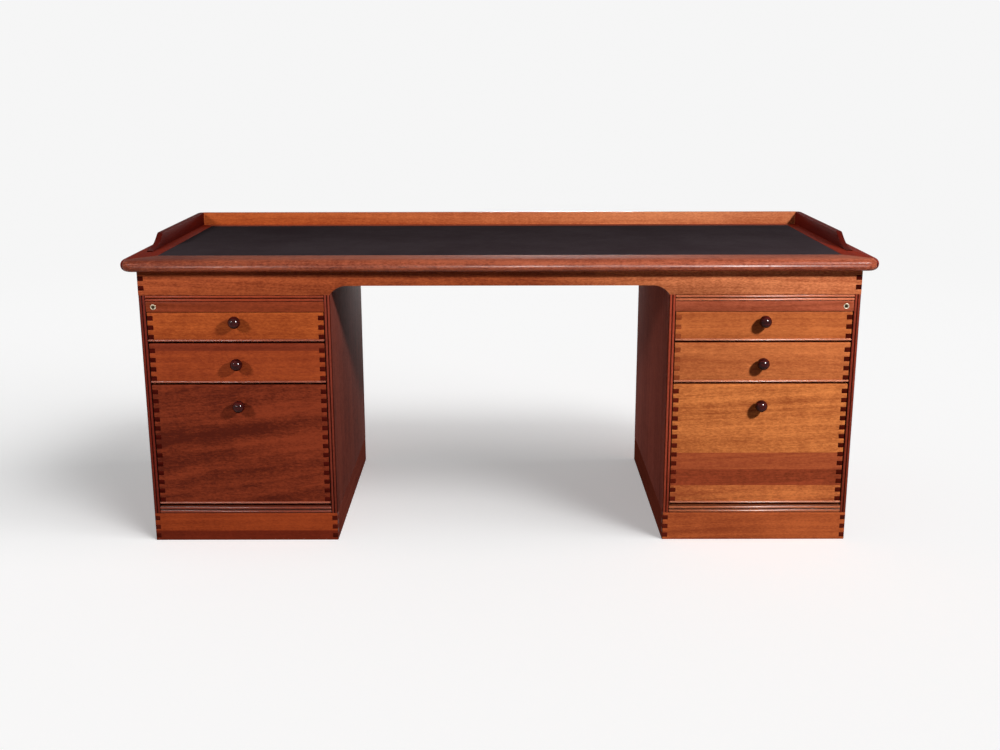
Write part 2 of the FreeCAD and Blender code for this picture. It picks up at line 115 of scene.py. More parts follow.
class Finish:
    """A material that is put together node by node."""

    def __init__(self, name, owner=None):
        self.material = owner or bpy.data.materials.new(name)
        self.material.use_nodes = True
        self.tree = self.material.node_tree
        self.tree.nodes.clear()

    def node(self, kind, settings=None, sockets=None, out=0):
        """Adds a node: its settings first, then the values or links of its sockets."""
        node = self.tree.nodes.new(kind)
        for key, value in (settings or {}).items():
            setattr(node, key, value)
        for key, value in (sockets or {}).items():
            if isinstance(value, Field):
                self.tree.links.new(value.socket, node.inputs[key])
            else:
                node.inputs[key].default_value = value
        return Field(self, node.outputs[out])

    def place(self, kind="Object"):
        return self.node("ShaderNodeTexCoord", None, None, kind)

    def axes(self, kind="Object"):
        """The X, Y and Z of a place on the piece, or of the way its surface faces."""
        place = self.place(kind)
        return {key: self.node("ShaderNodeSeparateXYZ", None, {0: place}, key) for key in "XYZ"}

    def cloud(self, place, scale, detail, roughness=0.5):
        return self.node("ShaderNodeTexNoise", None, {
            "Vector": place, "Scale": scale, "Detail": detail, "Roughness": roughness})

    def noise(self, u, v, w, detail, roughness=0.5):
        """Soft noise that runs once per unit of u, v and w, centred on nought."""
        place = self.node("ShaderNodeCombineXYZ", None, {0: u, 1: v, 2: w})
        return self.cloud(place, 1.0, detail, roughness) - 0.5

    def step(self, value, start, end, low=0.0, high=1.0):
        """Goes smoothly from low to high as a value goes from start to end."""
        return self.node("ShaderNodeMapRange", {"interpolation_type": "SMOOTHSTEP"}, {
            "Value": value, "From Min": start, "From Max": end, "To Min": low, "To Max": high})

    def mix(self, factor, first, second):
        """One colour over another."""
        return self.node("ShaderNodeMix", {"data_type": "RGBA"}, {
            0: factor, 6: first, 7: second}, 2)

    def bump(self, strength, distance, height):
        return self.node("ShaderNodeBump", None, {
            "Strength": strength, "Distance": distance, "Height": height})

    def surface(self, values):
        shader = self.node("ShaderNodeBsdfPrincipled", None, values)
        self.node_out(shader)

    def node_out(self, shader, kind="ShaderNodeOutputMaterial"):
        out = self.tree.nodes.new(kind)
        self.tree.links.new(shader.socket, out.inputs["Surface"])


def tone(red, green, blue):
    """A colour as it is seen, from nought to 255, turned into the light it gives back."""
    def linear(value):
        value = value / 255
        return value / 12.92 if value <= 0.04045 else ((value + 0.055) / 1.055) ** 2.4
    return (linear(red), linear(green), linear(blue), 1.0)


def darker(colour, share):
    return tuple(channel * share for channel in colour[:3]) + (1.0,)


# Marks of the wood: how often each comes round in a metre along the grain, across it and
# through the board, how far it is broken up, and how roughly.
wood_marks = {
    "wander": ((1.6, 5.0, 5.0), 2.0, 0.5),
    "fibre": ((9.0, 260.0, 260.0), 3.0, 0.7),
    "fleck": ((130.0, 330.0, 330.0), 2.0, 0.6),
    "mottle": ((38.0, 22.0, 22.0), 2.0, 0.5),
    "blotch": ((2.2, 3.5, 3.5), 2.0, 0.5),
    "pore": ((110.0, 1900.0, 1900.0), 1.0, 0.5),
    "cell": ((3.0, 700.0, 260.0), 2.0, 0.5)}
mark_strengths = {"fibre": 0.6, "fleck": 1.1, "mottle": 0.4, "blotch": 0.8}
layer_rate, ribbon_rates = 0.7, (2.2, 18.0, 12.0)
layer_wander = 0.05
heart_level, heart_depth = 0.12, 0.35
stave_shift = 1.7
pore_strength, pore_tone = 0.3, 0.4
# Painted shade: its strength and tone in the reed hollows, and its tone in the drawer gaps.
quirk_shade_strength, quirk_shade_tone = 0.9, 0.15
gap_shade_tone = 0.12
end_tone, darkest_end = 0.4, 0.55
end_shades_in_metre = 83.333


def mahogany(name, grain, light, dark, figure=0.8, seed=0.0, slope=0.0, rings=70.0, end=None,
             gloss=0.36, shine=0.06, staves=(), turn=None, face=None, quirk=None, raw=None,
             under=1.0, flat=0.0, streaks=0.5):
    """Waxed mahogany with its grain along one axis.

    light and dark are the tones of its layers, and figure says how strongly they part. rings
    counts layers in a metre, and slope says how they climb. end is the tone of cut fibres.
    staves lists glued strips from the top one down: the level of each one's upper edge, and
    its own light and dark. turn is a stretch along the board, from and to, over which it goes
    over to another light and dark, and face is the light and dark of its front edge. streaks
    says how strongly broad bands that climb with the layers show. quirk is the depth of the
    reed hollows, which are darkened as painted shade. raw is how far from the middle
    of the desk a face lies that lines a drawer gap, painted near black there as painted shade.
    under is the share of its tone that a face turned downwards keeps, as painted shade, and
    flat how much duller the level top is.
    """
    finish = Finish(name)
    axes, normal = finish.axes(), finish.axes("Normal")
    along = grain.upper()
    across, through = {"x": ("Z", "Y"), "y": ("Z", "X"), "z": ("X", "Y")}[grain]
    u, v, w = axes[along] + seed, axes[across], axes[through]
    tones = [tone(*light), tone(*dark)]
    darkest = tones[1]

    def recolour(share, others):
        return [finish.mix(share, old, tone(*new)) for old, new in zip(tones, others)]

    for level, *strip in staves:
        below = 1.0 - (axes["Z"] > level)
        tones = recolour(below, strip)
        u = u + below * stave_shift
    if turn is not None:
        tones = recolour(finish.step(axes[along], turn[0], turn[1]), turn[2:])
    if face is not None:
        tones = recolour(finish.step(normal["Y"], -0.5, -0.2, 1.0, 0.0), face)

    marks = {mark: finish.noise(u * rates[0], v * rates[1], w * rates[2], detail, roughness)
             for mark, (rates, detail, roughness) in wood_marks.items()}
    level = v + u * slope + marks["wander"] * layer_wander
    depth = w + heart_depth
    ring = finish.node("ShaderNodeMath", {"operation": "SQRT"}, {
        0: (level - heart_level) * (level - heart_level) + depth * depth})
    layers = finish.noise(u * layer_rate, ring * rings, 0.0, 3.0, 0.6)
    ribbon = finish.noise(u * ribbon_rates[0], level * ribbon_rates[1], w * ribbon_rates[2], 2.0)
    shade = layers + ribbon * streaks
    for mark, strength in mark_strengths.items():
        shade = shade + marks[mark] * strength
    colour = finish.mix(finish.step(shade * figure + 0.5, 0.0, 1.0), tones[1], tones[0])
    pores = finish.step(marks["pore"], 0.1, 0.25)
    colour = finish.mix(pores * pore_strength, colour, darker(darkest, pore_tone))
    # Painted shade: the hollows between the reeds are darkened.
    if quirk is not None:
        hollow = (finish.step(axes["Y"], quirk - 0.0026, quirk - 0.0011)
                  * finish.step(axes["Y"], quirk + 0.0005, quirk + 0.003, 1.0, 0.0))
        colour = finish.mix(hollow * quirk_shade_strength, colour, darker(darkest, quirk_shade_tone))
    # Painted shade: faces lining the drawer gaps, and the edges beside them, go near black.
    if raw is not None:
        painted_gap_shade = finish.step(abs(abs(axes["X"]) - raw), 0.0003, 0.0009, 1.0, 0.0)
        colour = finish.mix(painted_gap_shade, colour, darker(darkest, gap_shade_tone))
    # Painted shade: faces turned downwards are darkened.
    if under < 1.0:
        painted_underside_shade = finish.step(normal["Z"], -0.75, 0.0, 1.0, 0.0)
        colour = finish.mix(painted_underside_shade, colour, darker(darkest, under))

    cut = finish.step(abs(normal[along]), 0.6, 0.8)
    end = tone(*end) if end else darker(darkest, end_tone)
    number = finish.node("ShaderNodeMath", {"operation": "FLOOR"}, {
        0: axes["Z"] * end_shades_in_metre + seed})
    own_shade = finish.node("ShaderNodeTexWhiteNoise", {"noise_dimensions": "1D"}, {"W": number})
    end_shade = finish.step(own_shade * 0.7 + marks["cell"] * 1.2 + 0.15, 0.0, 1.0)
    colour = finish.mix(cut, colour, finish.mix(end_shade, darker(end, darkest_end), end))
    bump = finish.bump(0.25, 0.0004, marks["fibre"] * 0.35 - pores * 0.6 + layers * 0.2)
    rough = gloss + marks["fibre"] * 0.12 + cut * 0.15 + pores * 0.1
    if flat > 0.0:
        rough = rough + finish.step(normal["Z"], 0.9, 0.99) * flat
    finish.surface({"Base Color": colour, "Roughness": rough, "Normal": bump,
                    "Specular IOR Level": shine})
    return finish.material


def leave():
    """Closes the open piece, if there is one, and lets go of everything."""
    if bpy.context.mode == "EDIT_MESH":
        bpy.ops.object.mode_set(mode="OBJECT")
    bpy.ops.object.select_all(action="DESELECT")


def take_up(piece):
    """Picks one piece alone, as a whole."""
    leave()
    piece.select_set(True)
    bpy.context.view_layer.objects.active = piece


def work_on(piece):
    """Opens one piece in edit mode with nothing picked on it."""
    take_up(piece)
    bpy.ops.object.mode_set(mode="EDIT")
    bpy.ops.mesh.select_all(action="DESELECT")


def settle(name):
    """Names the newest piece, brings its place into its mesh and opens it in edit mode."""
    piece = bpy.context.object
    piece.name = name
    bpy.ops.object.transform_apply(location=True, rotation=True, scale=True)
    work_on(piece)
    return piece


def new_block(name, low, high):
    """A squared block between two corners, open in edit mode."""
    leave()
    low, high = Vector(low), Vector(high)
    bpy.ops.mesh.primitive_cube_add(size=1, location=(low + high) / 2, scale=high - low)
    return settle(name)


def copy_of(piece, name):
    """The same piece again with a mesh of its own."""
    copied = piece.copy()
    copied.data = piece.data.copy()
    copied.name = name
    bpy.context.scene.collection.objects.link(copied)
    return copied


def pick(kind, wanted):
    """Picks what wanted accepts: faces by (centre, normal), edges by both ends, or points."""
    bpy.ops.mesh.select_mode(type=kind)
    bpy.ops.mesh.select_all(action="DESELECT")
    mesh = bmesh.from_edit_mesh(bpy.context.object.data)
    if kind == "FACE":
        found = [f for f in mesh.faces if wanted(f.calc_center_median(), f.normal)]
    elif kind == "EDGE":
        found = [e for e in mesh.edges if wanted(e.verts[0].co, e.verts[1].co)]
    else:
        found = [v for v in mesh.verts if wanted(v.co)]
    for part in found:
        part.select_set(True)
    mesh.select_flush_mode()
    bmesh.update_edit_mesh(bpy.context.object.data)


def pick_all():
    bpy.ops.mesh.select_all(action="SELECT")


def saw_off(point, normal):
    """Saws away what lies on the normal's side of a plane, and closes the cut."""
    pick_all()
    bpy.ops.mesh.bisect(plane_co=point, plane_no=normal, use_fill=True, clear_outer=True,
                        threshold=hair)


def score(axis, place):
    """Scores a line all round the open piece at one place along an axis."""
    point = Vector()
    point[axis] = place
    normal = Vector()
    normal[axis] = 1
    pick_all()
    bpy.ops.mesh.bisect(plane_co=point, plane_no=normal, threshold=hair)


def round_off(width, segments, clamped=True):
    """Rounds the picked edges."""
    bpy.ops.mesh.bevel(offset=width, segments=segments, affect="EDGES", clamp_overlap=clamped)


def near(first, second):
    return abs(first - second) < 2 * hair


def soften(piece, width, segments=2):
    """Takes the arris off every sharp edge and shades the round stretches smooth."""
    take_up(piece)
    arris = piece.modifiers.new("arris", "BEVEL")
    arris.width = width
    arris.segments = segments
    arris.limit_method = "ANGLE"
    arris.angle_limit = sharp_angle
    bpy.ops.object.modifier_apply(modifier="arris")
    bpy.ops.object.shade_smooth_by_angle(angle=smooth_angle)


bodies = frame["record"]["behaviour"]["bodies"]
body_of_node = {node: body for body, nodes in bodies.items() for node in nodes}


def stands_for(piece, node, finish):
    """The piece shows in place of a node, moves with its body and takes its finish."""
    piece.data.materials.clear()
    piece.data.materials.append(finish)
    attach(piece, body_of_node[node])
    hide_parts(node)


top_blank = new_block("top_blank", top_low, top_high)
pick("EDGE", lambda a, b: near(a.x, b.x) and near(a.y, b.y))
round_off(plan_corner_radius, plan_corner_segments, False)
pick("EDGE", lambda a, b: near(a.z, b.z))
round_off(nose_radius, nose_segments, False)
leave()

# End rails: darker tones, partly own colour and partly painted shade; painted shade below too.
end_rail_wood = mahogany("end_rail_wood", "y", (122, 33, 15), (82, 19, 8), seed=1.4, gloss=0.6,
                         shine=0.02, under=0.4)
rail_finishes = {
    # Lighter towards the right end: partly own colour, partly painted light from the right lamp.
    "front": mahogany("front_rail_wood", "x", (150, 76, 50), (90, 36, 22), figure=1.2, seed=3.1,
                      gloss=0.26, shine=0.08, flat=0.5,
                      turn=(-0.6, 0.7, (170, 91, 64), (111, 45, 27))),
    "back": mahogany("back_rail_wood", "x", (150, 70, 48), (96, 36, 22), seed=5.7, gloss=0.34),
    "left": end_rail_wood, "right": end_rail_wood}
for name, outward in (("front", Vector((0, -1, 0))), ("back", Vector((0, 1, 0))),
                      ("left", Vector((-1, 0, 0))), ("right", Vector((1, 0, 0)))):
    rail = copy_of(top_blank, name + "_top_rail")
    work_on(rail)
    sideways = Vector((-outward.y, outward.x, 0))
    inner = Vector((outward.x * leather_high.x, outward.y * leather_high.y, 0))
    reach = Vector((sideways.x * leather_high.x, sideways.y * leather_high.y, 0))
    saw_off(inner, -outward)
    saw_off(inner + reach, sideways - outward)
    saw_off(inner - reach, -sideways - outward)
    soften(rail, rail_arris)
    stands_for(rail, "top_rail_" + name, rail_finishes[name])
bpy.data.objects.remove(top_blank)


# Writing surface
# One hide of charcoal leather is glued down between the rails. It is skived thin at its
# border, so its edge rolls over to meet the wood, and it has a fine pebbled grain.

leather_edge = 0.0008


def pebbled_leather(name, colour, crease):
    """Dull dyed leather with fine pebbles and paler rubbed clouds."""
    colour, crease = tone(*colour), tone(*crease)
    finish = Finish(name)
    place = finish.place()
    pebbles = finish.node("ShaderNodeTexVoronoi", {"feature": "SMOOTH_F1"}, {
        "Vector": place, "Scale": 620.0, "Smoothness": 0.6})
    cloud = finish.cloud(place, 4.0, 4.0, 0.6)
    rub = finish.cloud(place, 45.0, 5.0, 0.7)
    worn = finish.step(cloud + rub * 0.4, 0.45, 0.95)
    shade = finish.mix(worn * 0.7, colour, crease)
    shade = finish.mix(pebbles * 0.5, shade, darker(colour, 0.5))
    finish.surface({"Base Color": shade, "Roughness": 0.5 + worn * 0.12,
                    "Normal": finish.bump(0.3, 0.0003, rub * 0.3 - pebbles),
                    "Specular IOR Level": 0.0})
    return finish.material


hide = new_block("leather", leather_low, leather_high)
pick("EDGE", lambda a, b: near(a.z, leather_high.z) and near(b.z, leather_high.z))
round_off(leather_edge, 4)
soften(hide, leather_edge / 8)
stands_for(hide, "writing_surface",
           pebbled_leather("charcoal_leather", (58, 48, 51), (72, 63, 66)))


# Gallery
# A low rim stands on the rails along the back and both ends. Its boards are mitred at the
# rounded rear corners, its top edge is eased, and each end board is swept down in an ogee.

gallery_low, gallery_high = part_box("gallery_left")
gallery_thickness = 0.015
gallery_corner = 0.020
gallery_sweep = 0.111
gallery_shoulder = 0.022
gallery_toe = 0.0025
gallery_edge = 0.0022
gallery_arris = 0.0003
corner_steps = 8
sweep_steps = 14
outer_x, outer_y = -gallery_low.x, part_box("gallery_back")[1].y
straight_x, straight_y = outer_x - gallery_corner, outer_y - gallery_corner
crest_z = gallery_high.z
shoulder_y = gallery_low.y + gallery_sweep
sweep_rise = crest_z - gallery_low.z - gallery_toe
sweep_radii = (gallery_sweep ** 2 + sweep_rise ** 2) / (2 * sweep_rise)
sweep_turn = math.asin(gallery_sweep / sweep_radii)


def crest_at(distance):
    """Level of the top edge at a distance down the sweep, over a shoulder and a hollow."""
    if distance < gallery_shoulder * math.sin(sweep_turn):
        return crest_z - gallery_shoulder + math.sqrt(gallery_shoulder ** 2 - distance ** 2)
    hollow = sweep_radii - gallery_shoulder
    left = gallery_sweep - distance
    return crest_z - sweep_rise + hollow - math.sqrt(hollow ** 2 - left ** 2)


def move_by(x=0.0, y=0.0, z=0.0):
    bpy.ops.transform.translate(value=(x, y, z))


def draw_out(x=0.0, y=0.0, z=0.0):
    """Draws the picked faces out of the open piece."""
    bpy.ops.mesh.extrude_region_move(TRANSFORM_OT_translate={"value": (x, y, z)})


def pick_end(axis, place):
    """Picks the faces that close the open piece at a place along an axis."""
    pick("FACE", lambda c, n: near(c[axis], place) and abs(n[axis]) > 0.9)


def draw_swept(axis, place, level, stations):
    """Draws an end on along an axis, with one long edge brought to a new level each time."""
    for next_place, next_level in stations:
        pick_end(axis, place)
        step = Vector()
        step[axis] = next_place - place
        draw_out(*step)
        pick("VERT", lambda p: near(p[axis], next_place) and near(p.z, level))
        move_by(z=next_level - level)
        place, level = next_place, next_level


rim = new_block("rim", (-outer_x, shoulder_y, gallery_low.z),
                (-outer_x + gallery_thickness, straight_y, crest_z))
quarter_turn = math.radians(90)
pick("FACE", lambda c, n: n.y > 0.9)
bpy.ops.mesh.spin(steps=corner_steps, angle=quarter_turn, axis=(0, 0, 1),
                  center=(-straight_x, straight_y, 0))
draw_out(x=2 * straight_x)
bpy.ops.mesh.spin(steps=corner_steps, angle=quarter_turn, axis=(0, 0, 1),
                  center=(straight_x, straight_y, 0))
draw_out(y=shoulder_y - straight_y)
shares = [(1 - math.cos(math.pi * k / sweep_steps)) / 2 for k in range(1, sweep_steps + 1)]
draw_swept(1, shoulder_y, crest_z, [(shoulder_y - gallery_sweep * share,
                                     crest_at(gallery_sweep * share)) for share in shares])
pick_all()
bpy.ops.mesh.remove_doubles(threshold=hair)
bpy.ops.mesh.normals_make_consistent(inside=False)
pick("EDGE", lambda a, b: (min(a.z, b.z) > gallery_low.z + gallery_toe / 2
                           and not near((a - b).length, gallery_thickness)))
round_off(gallery_edge, 4)
leave()

# Lighter towards the right end: partly own colour, partly painted light from the right lamp.
gallery_back_wood = mahogany("gallery_back_wood", "x", (201, 101, 50), (147, 59, 27), seed=7.3,
                             turn=(-0.8, 0.8, (229, 144, 96), (171, 89, 53)))
# The end boards are far darker than the back: partly own colour, partly painted shade.
gallery_end_wood = mahogany("gallery_end_wood", "y", (90, 20, 12), (60, 11, 7), seed=2.2,
                            gloss=0.6, shine=0.02)
# Each mitre is given by the corner it lies at and by the way its waste lies.
for name, finish, mitres in (("back", gallery_back_wood, ((1, 1, -1), (-1, -1, -1))),
                             ("left", gallery_end_wood, ((-1, 1, 1),)),
                             ("right", gallery_end_wood, ((1, -1, 1),))):
    board = copy_of(rim, "gallery_board_" + name)
    work_on(board)
    for corner, x, y in mitres:
        saw_off((corner * straight_x, straight_y, 0), (x, y, 0))
    soften(board, gallery_arris)
    stands_for(board, "gallery_" + name, finish)
bpy.data.objects.remove(rim)


# Frieze
# Four apron boards stand under the top, finger-jointed at the corners. The front and back ones
# are sawn to an arch over the kneehole, and hidden bearers run from one to the other.

apron_thickness = 0.015
apron_corner = 0.0015
finger = 0.012
joint_arris = 0.00035
arch_rise = 0.023
arch_radius = 0.050
arch_steps = 9
frieze_low, frieze_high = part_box("apron_front")[0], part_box("apron_back")[1]
knee_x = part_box("right_side_inner")[0].x


def finger_levels(low, high):
    """Edges of the fingers, counted up from the board's bottom edge."""
    count = int((high - low) / finger + 0.5)
    return [low + k * finger for k in range(count)] + [high]


def finger_end(axis, root, tip, levels, first):
    """Cuts the end of the open board at its root into fingers that reach out to the tip."""
    for level in levels[1:-1]:
        pick_end(axis, root)
        bpy.ops.mesh.bisect(plane_co=(0, 0, level), plane_no=(0, 0, 1), threshold=hair)
    own = list(zip(levels[:-1], levels[1:]))[first::2]
    pick("FACE", lambda c, n: (near(c[axis], root) and abs(n[axis]) > 0.9
                               and any(a < c.z < b for a, b in own)))
    reach = Vector()
    reach[axis] = tip - root
    draw_out(*reach)


def jointed_board(name, low, high, axis, roots, levels, first):
    """A board along an axis with fingers at both ends, from root to tip at each."""
    core_low, core_high = Vector(low), Vector(high)
    core_low[axis] += roots[0]
    core_high[axis] -= roots[1]
    board = new_block(name, core_low, core_high)
    finger_end(axis, core_low[axis], low[axis], levels, first)
    finger_end(axis, core_high[axis], high[axis], levels, first)
    return board


def round_corners(low, high, radius):
    """Rounds the upright edges that lie on the corners of a plan."""
    pick("EDGE", lambda a, b: (near(a.x, b.x) and near(a.y, b.y)
                               and (near(a.x, low.x) or near(a.x, high.x))
                               and (near(a.y, low.y) or near(a.y, high.y))))
    round_off(radius, 4)


apron_levels = finger_levels(frieze_low.z, frieze_high.z)
arch_drop = arch_radius - arch_rise
arch_spread = math.sqrt(arch_radius ** 2 - arch_drop ** 2)
arch_turn = math.asin(arch_spread / arch_radius)
head_x, head_z = knee_x - arch_spread, frieze_low.z + arch_rise
arch_line = [(head_x + arch_radius * math.sin(arch_turn * k / arch_steps),
              head_z - arch_radius * (1 - math.cos(arch_turn * k / arch_steps)))
             for k in range(1, arch_steps + 1)]
apron_root = frieze_high.x - apron_thickness
arch_line.append((apron_root, frieze_low.z))

unpolished = {"gloss": 0.6, "shine": 0.0}
apron_woods = {
    # Lighter towards the right end: partly own colour, partly painted light from the right lamp.
    "front": mahogany("apron_front_wood", "x", (176, 87, 48), (115, 47, 25), figure=1.0, seed=4.2,
                      slope=0.04, turn=(0.0, 0.55, (223, 135, 87), (151, 76, 45))),
    "back": mahogany("apron_back_wood", "x", (168, 84, 46), (108, 46, 25), figure=1.0, seed=9.6),
    "left": mahogany("apron_left_wood", "y", (124, 52, 28), (76, 28, 16), figure=1.0, seed=6.6,
                     end=(70, 18, 12), **unpolished),
    "right": mahogany("apron_right_wood", "y", (124, 52, 28), (76, 28, 16), figure=1.0, seed=8.1,
                      end=(70, 18, 12), **unpolished)}
for name, y0 in (("front", frieze_low.y), ("back", frieze_high.y - apron_thickness)):
    apron = new_block(name + "_apron", (-head_x, y0, head_z),
                      (head_x, y0 + apron_thickness, frieze_high.z))
    for side in (1, -1):
        draw_swept(0, side * head_x, head_z, [(side * x, z) for x, z in arch_line])
        finger_end(0, side * apron_root, side * frieze_high.x, apron_levels, 0)
    round_corners(frieze_low, frieze_high, apron_corner)
    soften(apron, joint_arris)
    stands_for(apron, "apron_" + name, apron_woods[name])
for name, x0 in (("left", frieze_low.x), ("right", frieze_high.x - apron_thickness)):
    apron = jointed_board(name + "_apron", (x0, frieze_low.y, frieze_low.z),
                          (x0 + apron_thickness, frieze_high.y, frieze_high.z), 1,
                          (apron_thickness, apron_thickness), apron_levels, 1)
    round_corners(frieze_low, frieze_high, apron_corner)
    soften(apron, joint_arris)
    stands_for(apron, "apron_" + name, apron_woods[name])

planed_wood = mahogany("planed_wood", "y", (160, 98, 66), (118, 64, 42), figure=1.0, seed=0.7,
                       end=(110, 66, 46), gloss=0.6)
panel_wood = mahogany("panel_wood", "x", (160, 98, 66), (118, 64, 42), figure=1.0, seed=1.9,
                      end=(110, 66, 46), gloss=0.6)


def refinish(node, finish):
    """Gives a piece of the frame that keeps its shape its own finish."""
    frame["nodes"][node].data.materials.clear()
    frame["nodes"][node].data.materials.append(finish)


refinish("top_bearers", planed_wood)
refinish("top_panel", panel_wood)


# Pedestal sides
# Each pedestal has two side boards. Their front edges are run with two reeds from plinth to
# frieze, and they are rebated behind for the back panel.

side_low, side_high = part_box("right_side_outer")
inner_low, inner_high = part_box("right_side_inner")
back_low, back_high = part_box("right_back_panel")
reed_count = 2
reed_depth = 0.0028
reed_steps = 8
side_arris = 0.0004
valley_y = side_low.y + reed_depth


def run_reeds(axis, low, high):
    """Runs reeds along the front face of the open board, side by side across one axis."""
    width = (high - low) / reed_count
    radius = (width ** 2 / 4 + reed_depth ** 2) / (2 * reed_depth)
    turn = math.asin(width / 2 / radius)
    angles = [turn * (2 * step / reed_steps - 1) for step in range(1, reed_steps)]
    middles = [low + (reed + 0.5) * width for reed in range(reed_count)]
    for middle in middles:
        if middle != middles[0]:
            score(axis, middle - width / 2)
        for angle in angles:
            score(axis, middle + radius * math.sin(angle))
    for middle in middles:
        for angle in angles:
            place = middle + radius * math.sin(angle)
            pick("VERT", lambda p: near(p[axis], place) and near(p.y, valley_y))
            move_by(y=radius - reed_depth - radius * math.cos(angle))


def mirrored_copy(piece, name):
    """The same piece for the other pedestal."""
    copied = copy_of(piece, name)
    work_on(copied)
    pick_all()
    bpy.ops.transform.resize(value=(-1, 1, 1), center_override=(0, 0, 0))
    bpy.ops.mesh.normals_make_consistent(inside=False)
    leave()
    return copied


def fit_both(piece, node, right_finish, left_finish=None):
    """Fits a right-hand piece and its mirrored twin in place of their nodes."""
    twin = mirrored_copy(piece, piece.name.replace("right", "left"))
    stands_for(piece, "right_" + node, right_finish)
    stands_for(twin, "left_" + node, left_finish or right_finish)


# Painted shade goes into the reed hollows and onto the face that lines the drawer gap.
outer_board = {"quirk": valley_y, "raw": side_low.x}
inner_board = {"quirk": valley_y, "raw": inner_high.x, "gloss": 0.7, "shine": 0.01}
# Right-hand tones are lighter than left: partly own colour, partly painted light on the right.
side_woods = {
    name: mahogany(name + "_side_wood", "z", light, dark, seed=seed, face=face, **board)
    for name, seed, light, dark, face, board in (
        ("right_outer", 2.9, (132, 54, 36), (88, 32, 22), ((150, 62, 42), (98, 32, 20)),
         outer_board),
        ("left_outer", 5.1, (112, 42, 28), (80, 26, 18), ((126, 44, 30), (82, 24, 15)),
         outer_board),
        ("right_inner", 3.7, (128, 62, 50), (83, 36, 28), ((175, 79, 55), (122, 46, 30)),
         inner_board),
        ("left_inner", 8.8, (110, 52, 41), (71, 32, 25), ((133, 57, 42), (89, 33, 24)),
         inner_board | {"figure": 0.9}))}
for part, low, high, thick_side in (("outer", side_low, side_high, 1),
                                    ("inner", inner_low, inner_high, -1)):
    board = new_block("right_" + part + "_side", (low.x, low.y + reed_depth, low.z),
                      (high.x, back_low.y, high.z))
    run_reeds(0, low.x, high.x)
    middle_x = (low.x + high.x) / 2
    pick("FACE", lambda c, n: n.y > 0.9 and (c.x - middle_x) * thick_side > 0)
    draw_out(y=high.y - back_low.y)
    soften(board, side_arris)
    fit_both(board, "side_" + part, side_woods["right_" + part], side_woods["left_" + part])


# Shelves and backs
# The top and bottom boards lie between the sides and carry the same two reeds, and a plain
# panel lies in the rebates behind. All of them are glued.

# Right-hand tones are lighter than left: partly own colour, partly painted light on the right.
shelf_woods = {
    # Painted shade goes into the reed hollows of the shelves.
    name: mahogany(name + "_wood", "x", light, dark, figure=0.7, seed=seed, quirk=valley_y,
                   gloss=0.28, shine=shine)
    for name, light, dark, seed, shine in (
        ("right_top_board", (215, 121, 79), (153, 74, 44), 1.3, 0.16),
        ("left_top_board", (160, 68, 41), (108, 39, 22), 6.1, 0.06),
        ("right_bottom_board", (200, 112, 66), (146, 70, 38), 2.4, 0.16),
        ("left_bottom_board", (142, 60, 34), (98, 38, 22), 4.9, 0.16))}
for node in ("top_board", "bottom_board"):
    low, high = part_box("right_" + node)
    shelf = new_block("right_" + node + "_shelf", (low.x, low.y + reed_depth, low.z), high)
    run_reeds(2, low.z, high.z)
    soften(shelf, side_arris)
    fit_both(shelf, node, shelf_woods["right_" + node], shelf_woods["left_" + node])

back_wood = mahogany("back_wood", "z", (150, 72, 44), (104, 46, 28), figure=1.0, seed=3.3,
                     gloss=0.4)
back = new_block("right_back", back_low, back_high)
soften(back, side_arris)
fit_both(back, "back_panel", back_wood)


# Plinths
# Each pedestal stands on four boards, finger-jointed like the frieze, with an odd number of
# whole fingers between two short ones. The corners are rounded.

plinth_low, plinth_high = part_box("right_plinth")
plinth_thickness = 0.014
plinth_corner = 0.003
whole_fingers = 5
short_finger = (plinth_high.z - plinth_low.z - whole_fingers * finger) / 2
plinth_levels = [plinth_low.z] + [plinth_low.z + short_finger + k * finger
                                  for k in range(whole_fingers + 1)] + [plinth_high.z]
# Right-hand tones are lighter than left: partly own colour, partly painted light on the right.
plinth_woods = {
    "right": mahogany("right_plinth_wood", "x", (199, 102, 54), (143, 64, 34), seed=5.5),
    "left": mahogany("left_plinth_wood", "x", (164, 70, 33), (118, 44, 20), seed=2.0,
                     staves=((0.026, (120, 42, 23), (87, 27, 12)),)),
    "right_end": mahogany("right_plinth_end_wood", "y", (114, 50, 36), (78, 32, 23), seed=7.7,
                          end=(92, 30, 19), **unpolished),
    "left_end": mahogany("left_plinth_end_wood", "y", (122, 60, 48), (82, 37, 30), seed=0.4,
                         end=(84, 26, 16), **unpolished)}
plinth_roots = (plinth_thickness, plinth_thickness)
for name, axis, first in (("front", 0, 0), ("rear", 0, 0), ("inner", 1, 1), ("outer", 1, 1)):
    low, high = Vector(plinth_low), Vector(plinth_high)
    across = 1 - axis
    if name in ("front", "inner"):
        high[across] = low[across] + plinth_thickness
    else:
        low[across] = high[across] - plinth_thickness
    board = jointed_board("right_plinth_" + name, low, high, axis, plinth_roots, plinth_levels,
                          first)
    round_corners(plinth_low, plinth_high, plinth_corner)
    soften(board, joint_arris)
    end = "_end" if axis else ""
    fit_both(board, "plinth", plinth_woods["right" + end], plinth_woods["left" + end])


# Lock rails and locks
# A rail closes the space over the upper drawer. A small cylinder lock goes through it: its
# plug turns a rod, and a crank on the rod lifts a steel bar behind the drawers.

